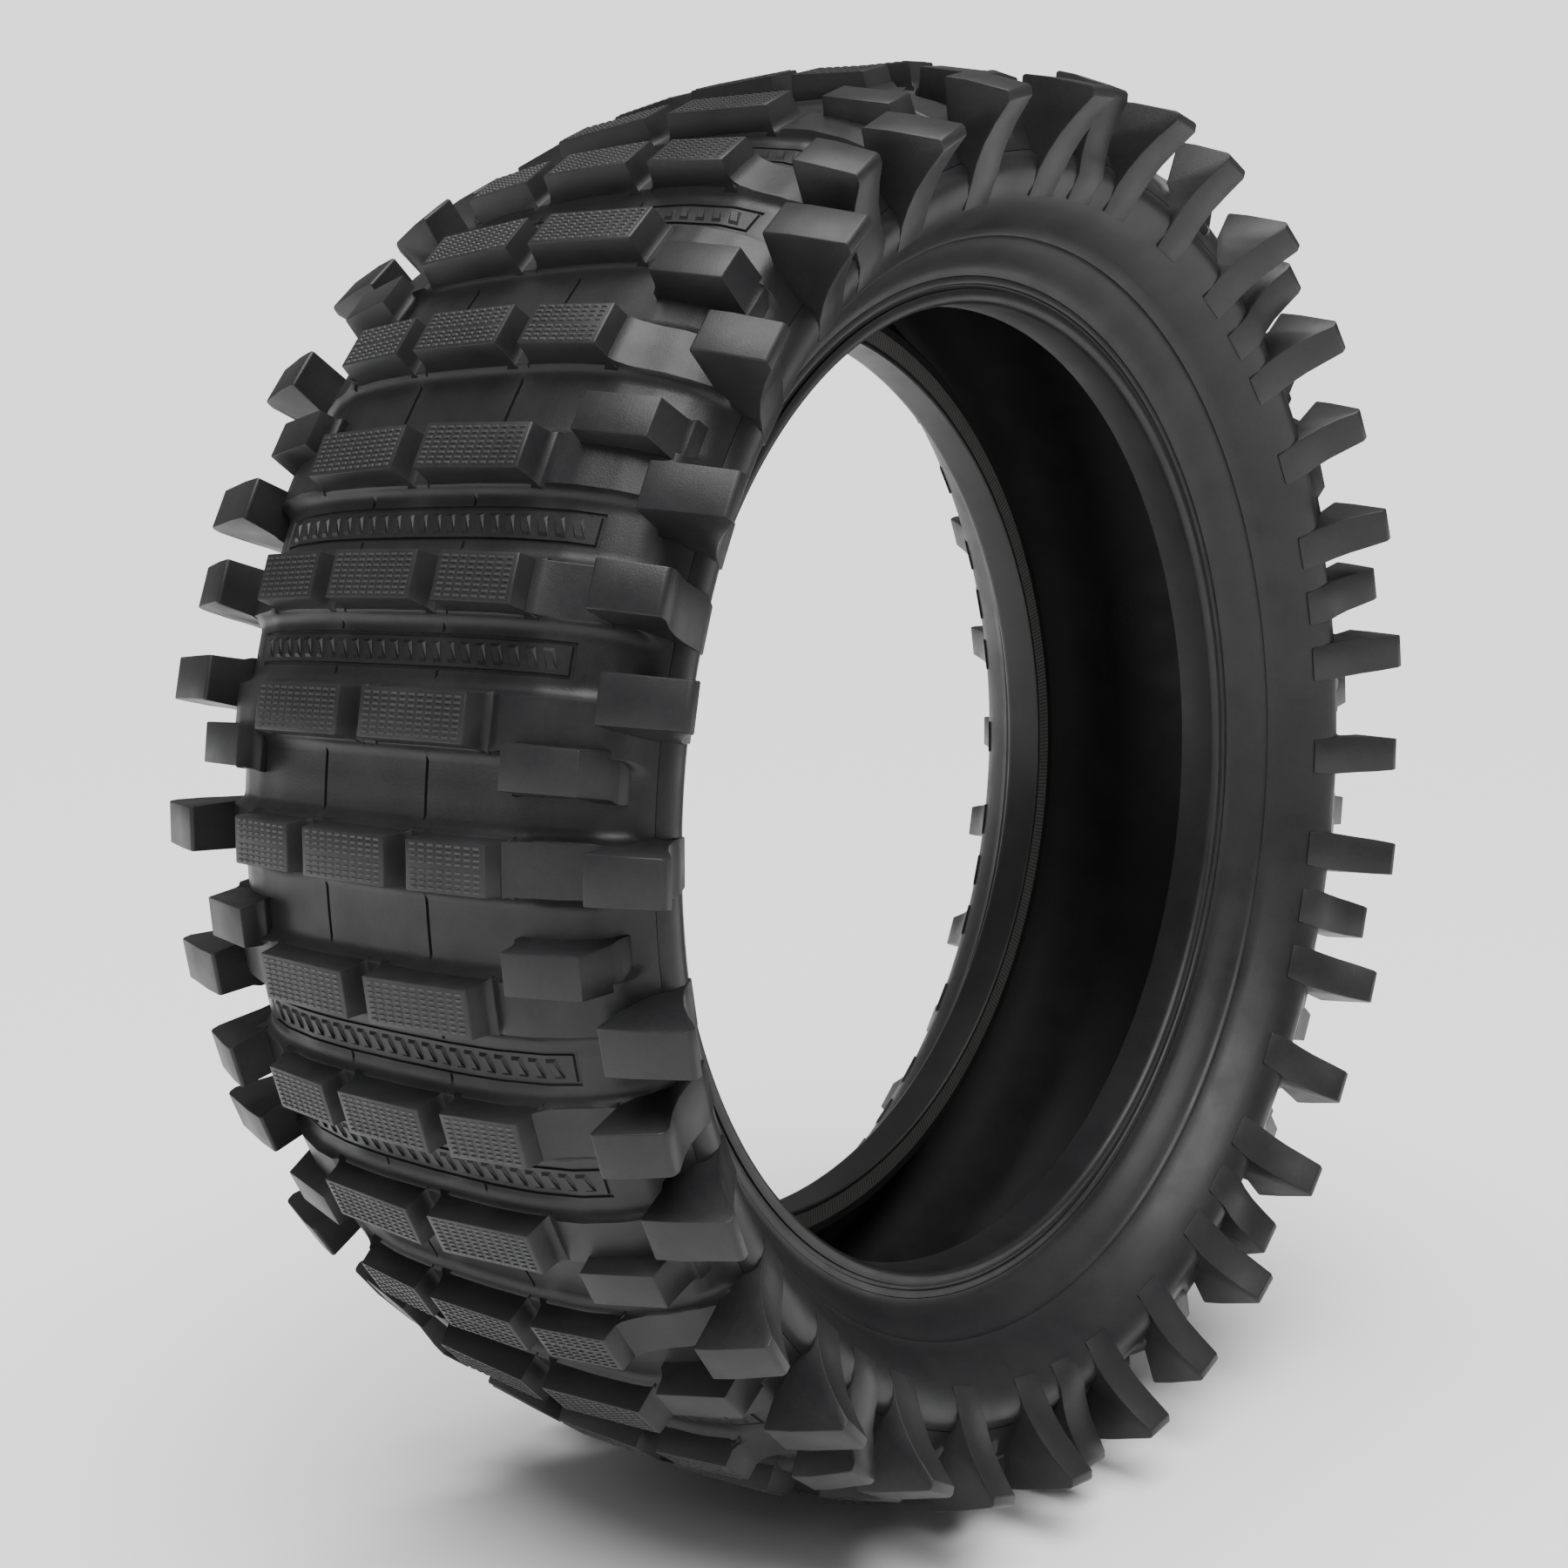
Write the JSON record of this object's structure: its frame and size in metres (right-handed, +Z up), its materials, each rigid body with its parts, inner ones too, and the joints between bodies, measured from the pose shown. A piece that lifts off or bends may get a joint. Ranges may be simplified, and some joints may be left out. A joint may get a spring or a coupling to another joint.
{
  "type": "motorcycle tyre",
  "caption": "Off-road knobbly motorcycle tyre without its rim: wide block tread, smooth sidewalls, turned beads and an open tube cavity.",
  "frame": {"origin": "centre of the wheel, midway between the two beads", "axes": "+Y along the wheel's axis, towards the left side; +Z up through the tyre as it stands; +X along the wheel's rolling direction"},
  "size_m": [0.676, 0.2888, 0.676],
  "materials": {
    "tread_rubber": "satin black moulded rubber, knurled on the centre knobs",
    "cushion_rubber": "matt",
    "rubberised_cord": "rubber-coated nylon cord",
    "liner_rubber": "smooth, satin",
    "sidewall_rubber": "smooth satin black",
    "woven_fabric": "rubber-coated woven nylon",
    "filler_rubber": "hard, matt",
    "bead_wire": "bronze-coated steel wire"
  },
  "bodies": {
    "root": {"tread": "tread_rubber", "undertread": "cushion_rubber", "shoulder_wedge_left": "cushion_rubber", "shoulder_wedge_right": "cushion_rubber", "breaker_outer": "rubberised_cord", "breaker_inner": "rubberised_cord", "casing_ply_outer": "rubberised_cord", "casing_ply_inner": "rubberised_cord", "inner_liner": "liner_rubber", "sidewall_left": "sidewall_rubber", "sidewall_right": "sidewall_rubber", "rim_strip_left": "sidewall_rubber", "rim_strip_right": "sidewall_rubber", "chafer_left": "woven_fabric", "chafer_right": "woven_fabric", "bead_wrap_left": "woven_fabric", "bead_wrap_right": "woven_fabric", "bead_filler_left": "filler_rubber", "bead_filler_right": "filler_rubber", "bead_core_left": "bead_wire", "bead_core_right": "bead_wire"}
  },
  "joints": []
}
